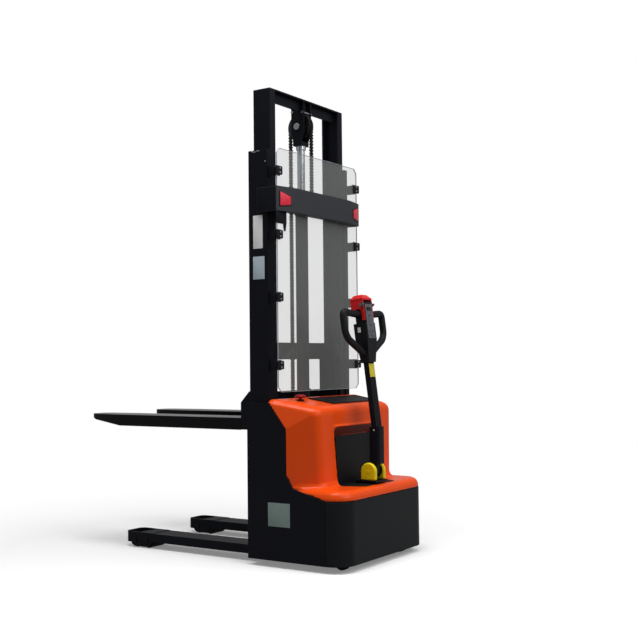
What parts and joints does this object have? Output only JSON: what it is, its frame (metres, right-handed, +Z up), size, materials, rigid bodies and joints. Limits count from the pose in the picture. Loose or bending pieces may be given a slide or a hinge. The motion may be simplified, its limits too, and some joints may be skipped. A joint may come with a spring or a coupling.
{
  "type": "walkie stacker",
  "caption": "Electric pedestrian stacker with a telescopic chain-lift mast, forks over support legs, a moulded cover on the power unit and a steering tiller.",
  "frame": {"origin": "centre of the plan box, on the floor", "axes": "+Z up, +Y forward along the forks, +X to the right of an operator facing forward"},
  "size_m": [0.8, 1.705, 2.335],
  "materials": {
    "black_paint": "satin black powder coat",
    "charcoal_paint": "satin charcoal powder coat",
    "orange_cover": "gloss orange moulded plastic",
    "black_plastic": "fine-grained black moulded plastic",
    "clear_sheet": "clear polycarbonate sheet",
    "zinc_steel": "zinc-plated steel",
    "plated_rod": "hard-chromed rod",
    "cylinder_paint": "dark grey paint",
    "chain_steel": "oiled leaf chain steel",
    "wheel_tread": "solid polyurethane tread",
    "guide_nylon": "natural nylon",
    "yellow_plastic": "yellow moulded plastic",
    "red_plastic": "red moulded plastic",
    "grey_plastic": "grey moulded plastic",
    "battery_case": "battery case plastic",
    "heat_sink": "extruded aluminium",
    "hose_rubber": "hydraulic hose rubber"
  },
  "bodies": {
    "chassis": {"side_plate_left": "black_paint", "side_plate_right": "black_paint", "rear_skirt": "charcoal_paint", "bulkhead": "black_paint", "drive_bridge": "black_paint", "mast_foot": "black_paint", "leg_left": "black_paint", "leg_right": "black_paint", "load_axles": "zinc_steel", "outer_rail_left": "black_paint", "outer_rail_right": "black_paint", "mast_crossbeam": "black_paint", "guide_pads": "guide_nylon", "crossbeam_cover": "charcoal_paint", "shield": "clear_sheet", "shield_posts": "black_paint", "lift_cylinder": "cylinder_paint", "body_cover": "orange_cover", "recess_panel": "black_plastic", "top_tray": "black_plastic", "stop_switch_base": "black_plastic", "battery_pack": "battery_case", "power_pack": "cylinder_paint", "motor_controller": "heat_sink", "hydraulic_hose": "hose_rubber", "chain_rear": "chain_steel"},
    "inner_mast": {"inner_rail_left": "black_paint", "inner_rail_right": "black_paint", "inner_crossbeams": "black_paint", "lift_rod": "plated_rod", "chain_wheel_pin": "zinc_steel", "chain_wrap": "chain_steel"},
    "carriage": {"carriage_frame": "black_paint", "fork_left": "black_paint", "fork_right": "black_paint", "chain_front": "chain_steel"},
    "chain_wheel": {"chain_wheel": "chain_steel"},
    "mast_rollers": {"mast_rollers": "zinc_steel"},
    "carriage_rollers_lower": {"carriage_rollers_lower": "zinc_steel"},
    "carriage_rollers_upper": {"carriage_rollers_upper": "zinc_steel"},
    "steering": {"drive_unit": "cylinder_paint", "steer_head": "black_paint", "tiller_cheeks": "yellow_plastic", "tiller_pin": "zinc_steel"},
    "drive_wheel": {"drive_wheel": "wheel_tread"},
    "tiller": {"tiller_arm": "black_paint", "tiller_head": "black_plastic", "tiller_handle": "black_plastic"},
    "throttle": {"throttle_wings": "black_plastic"},
    "belly": {"belly_button": "red_plastic"},
    "rocker": {"lift_rocker": "grey_plastic"},
    "stop": {"stop_button": "red_plastic"},
    "load_roller_left_front": {"load_roller_left_front": "wheel_tread"},
    "load_roller_left_rear": {"load_roller_left_rear": "wheel_tread"},
    "castor_left": {"castor_fork_left": "zinc_steel"},
    "castor_wheel_left": {"castor_wheel_left": "wheel_tread"},
    "load_roller_right_front": {"load_roller_right_front": "wheel_tread"},
    "load_roller_right_rear": {"load_roller_right_rear": "wheel_tread"},
    "castor_right": {"castor_fork_right": "zinc_steel"},
    "castor_wheel_right": {"castor_wheel_right": "wheel_tread"}
  },
  "joints": [
    {"name": "mast_lift", "type": "slide", "parent": "chassis", "child": "inner_mast", "axis": [0, 0, 1], "range_m": [-0.305, 1.145], "deforming": ["chain_rear"]},
    {"name": "carriage_lift", "type": "slide", "parent": "inner_mast", "child": "carriage", "axis": [0, 0, 1], "range_m": [-0.305, 1.145], "deforming": ["chain_front"]},
    {"name": "chain_wheel_turn", "type": "hinge", "parent": "inner_mast", "child": "chain_wheel", "pos_m": [0, -0.361, 2.2], "axis": [1, 0, 0], "range_deg": [-270, 1012]},
    {"name": "mast_roller_turn", "type": "hinge", "parent": "inner_mast", "child": "mast_rollers", "pos_m": [0, -0.355, 0.455], "axis": [1, 0, 0], "range_deg": [-373, 1397]},
    {"name": "lower_roller_turn", "type": "hinge", "parent": "carriage", "child": "carriage_rollers_lower", "pos_m": [0, -0.355, 0.7445], "axis": [1, 0, 0], "range_deg": [-433, 1621]},
    {"name": "upper_roller_turn", "type": "hinge", "parent": "carriage", "child": "carriage_rollers_upper", "pos_m": [0, -0.355, 1.0395], "axis": [1, 0, 0], "range_deg": [-1621, 433]},
    {"name": "load_roller_left_front_turn", "type": "hinge", "parent": "chassis", "child": "load_roller_left_front", "pos_m": [-0.2565, 0.5145, 0.037], "axis": [1, 0, 0], "continuous": true},
    {"name": "load_roller_left_rear_turn", "type": "hinge", "parent": "chassis", "child": "load_roller_left_rear", "pos_m": [-0.2565, 0.4345, 0.037], "axis": [1, 0, 0], "continuous": true},
    {"name": "castor_left_swivel", "type": "hinge", "parent": "chassis", "child": "castor_left", "pos_m": [-0.275, -0.7405, 0.15], "axis": [0, 0, 1], "continuous": true},
    {"name": "castor_wheel_left_turn", "type": "hinge", "parent": "castor_left", "child": "castor_wheel_left", "pos_m": [-0.275, -0.7655, 0.0375], "axis": [1, 0, 0], "continuous": true},
    {"name": "load_roller_right_front_turn", "type": "hinge", "parent": "chassis", "child": "load_roller_right_front", "pos_m": [0.2565, 0.5145, 0.037], "axis": [1, 0, 0], "continuous": true},
    {"name": "load_roller_right_rear_turn", "type": "hinge", "parent": "chassis", "child": "load_roller_right_rear", "pos_m": [0.2565, 0.4345, 0.037], "axis": [1, 0, 0], "continuous": true},
    {"name": "castor_right_swivel", "type": "hinge", "parent": "chassis", "child": "castor_right", "pos_m": [0.275, -0.7405, 0.15], "axis": [0, 0, 1], "continuous": true},
    {"name": "castor_wheel_right_turn", "type": "hinge", "parent": "castor_right", "child": "castor_wheel_right", "pos_m": [0.275, -0.7655, 0.0375], "axis": [1, 0, 0], "continuous": true},
    {"name": "steer", "type": "hinge", "parent": "chassis", "child": "steering", "pos_m": [0, -0.7255, 0.22], "axis": [0, 0, 1], "range_deg": [-90, 90]},
    {"name": "drive_wheel_turn", "type": "hinge", "parent": "steering", "child": "drive_wheel", "pos_m": [0, -0.7255, 0.105], "axis": [1, 0, 0], "continuous": true},
    {"name": "tiller_tilt", "type": "hinge", "parent": "steering", "child": "tiller", "pos_m": [0, -0.7755, 0.44], "axis": [1, 0, 0], "range_deg": [0, 75], "stiffness_Nm_per_rad": 32, "springref_deg": -28.65},
    {"name": "throttle_turn", "type": "hinge", "parent": "tiller", "child": "throttle", "pos_m": [0, -0.74569, 1.25737], "axis": [1, 0, 0], "range_deg": [-25, 25], "stiffness_Nm_per_rad": 0.25},
    {"name": "belly_press", "type": "slide", "parent": "tiller", "child": "belly", "axis": [0, -0.1305, -0.9914], "range_m": [0, 0.008], "stiffness_N_per_m": 1000, "springref_m": -0.008},
    {"name": "rocker_turn", "type": "hinge", "parent": "tiller", "child": "rocker", "pos_m": [0, -0.75971, 1.18155], "axis": [1, 0, 0], "range_deg": [-8, 8], "stiffness_Nm_per_rad": 0.3},
    {"name": "stop_press", "type": "slide", "parent": "chassis", "child": "stop", "axis": [0, 0, -1], "range_m": [0, 0.006]}
  ],
  "couplings": [
    {"joint": "carriage_lift", "follows": "mast_lift", "ratio": 1},
    {"joint": "chain_wheel_turn", "follows": "mast_lift", "rad_per_m": 15.385},
    {"joint": "mast_roller_turn", "follows": "mast_lift", "rad_per_m": 21.277},
    {"joint": "lower_roller_turn", "follows": "mast_lift", "rad_per_m": 24.691},
    {"joint": "upper_roller_turn", "follows": "mast_lift", "rad_per_m": -24.691}
  ]
}
